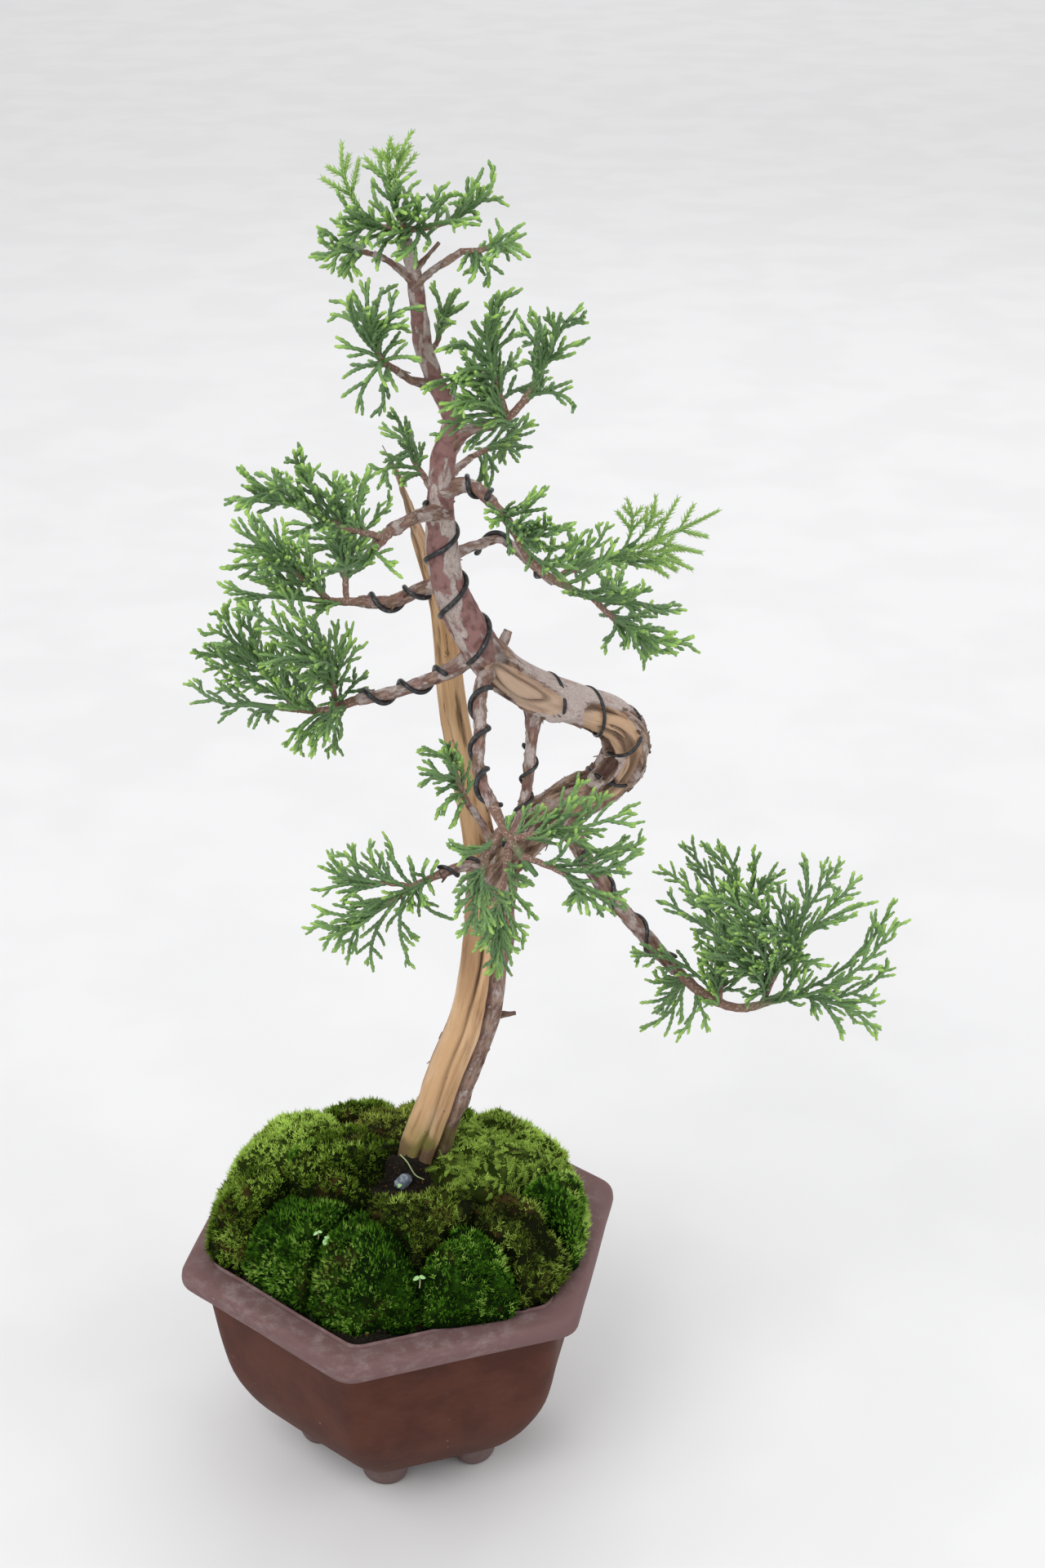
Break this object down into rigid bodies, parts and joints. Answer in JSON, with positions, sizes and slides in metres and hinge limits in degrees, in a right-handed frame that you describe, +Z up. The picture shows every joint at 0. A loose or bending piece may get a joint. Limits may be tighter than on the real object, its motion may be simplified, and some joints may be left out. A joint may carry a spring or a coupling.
{
  "type": "itoigawa juniper bonsai",
  "caption": "Small wired juniper bonsai with a curved trunk, a bare deadwood spike and scale-leaved sprays, on a mossy mound in a hexagonal clay pot with cloud feet.",
  "frame": {"origin": "middle of the underside of the box round the whole object, at the feet's undersides", "axes": "+Z up along the trunk; seen from the front, +X is to the right and +Y away"},
  "size_m": [0.2296, 0.1608, 0.4453],
  "materials": {
    "clay": "matte",
    "net_plastic": "matte",
    "soil": "matte",
    "moss_green": "matte",
    "moss_emerald": "matte",
    "moss_yellow": "matte",
    "moss_olive": "matte",
    "moss_brown": "matte",
    "stone": "matte",
    "bark": "matte",
    "wire": "satin",
    "foliage": "satin"
  },
  "bodies": {
    "root": {"pot": "clay", "drain_net": "net_plastic", "soil": "soil", "moss_left": "moss_green", "moss_back_left": "moss_yellow", "moss_mid_left": "moss_green", "moss_left_front": "moss_emerald", "moss_front": "moss_emerald", "moss_centre": "moss_olive", "moss_front_right": "moss_emerald", "moss_right_front": "moss_olive", "moss_right": "moss_emerald", "moss_right_back": "moss_yellow", "moss_back": "moss_brown", "moss_back_right": "moss_yellow", "moss_rear_left": "moss_green", "moss_rear_right": "moss_green", "stone_chip": "stone", "tree": "bark", "wire_trunk_lower": "wire", "wire_trunk_upper": "wire", "wire_low_right": "wire", "wire_low_left": "wire", "wire_mid_left": "wire", "wire_upper_left": "wire", "wire_front_hang": "wire", "wire_mid_hang": "wire", "wire_right_a": "wire", "wire_right_b": "wire", "spray_low_right": "foliage", "spray_low_left": "foliage", "spray_twig_mid": "foliage", "spray_front_hang": "foliage", "spray_mid_hang": "foliage", "spray_mid_left": "foliage", "spray_upper_left": "foliage", "spray_front_left": "foliage", "spray_right_a": "foliage", "spray_right_b": "foliage", "spray_top_right": "foliage", "spray_top_back": "foliage", "spray_top_left_low": "foliage", "spray_top_left": "foliage", "spray_leader_right": "foliage", "spray_crown_right": "foliage", "spray_crown_left": "foliage", "spray_trunk": "foliage"}
  },
  "joints": []
}
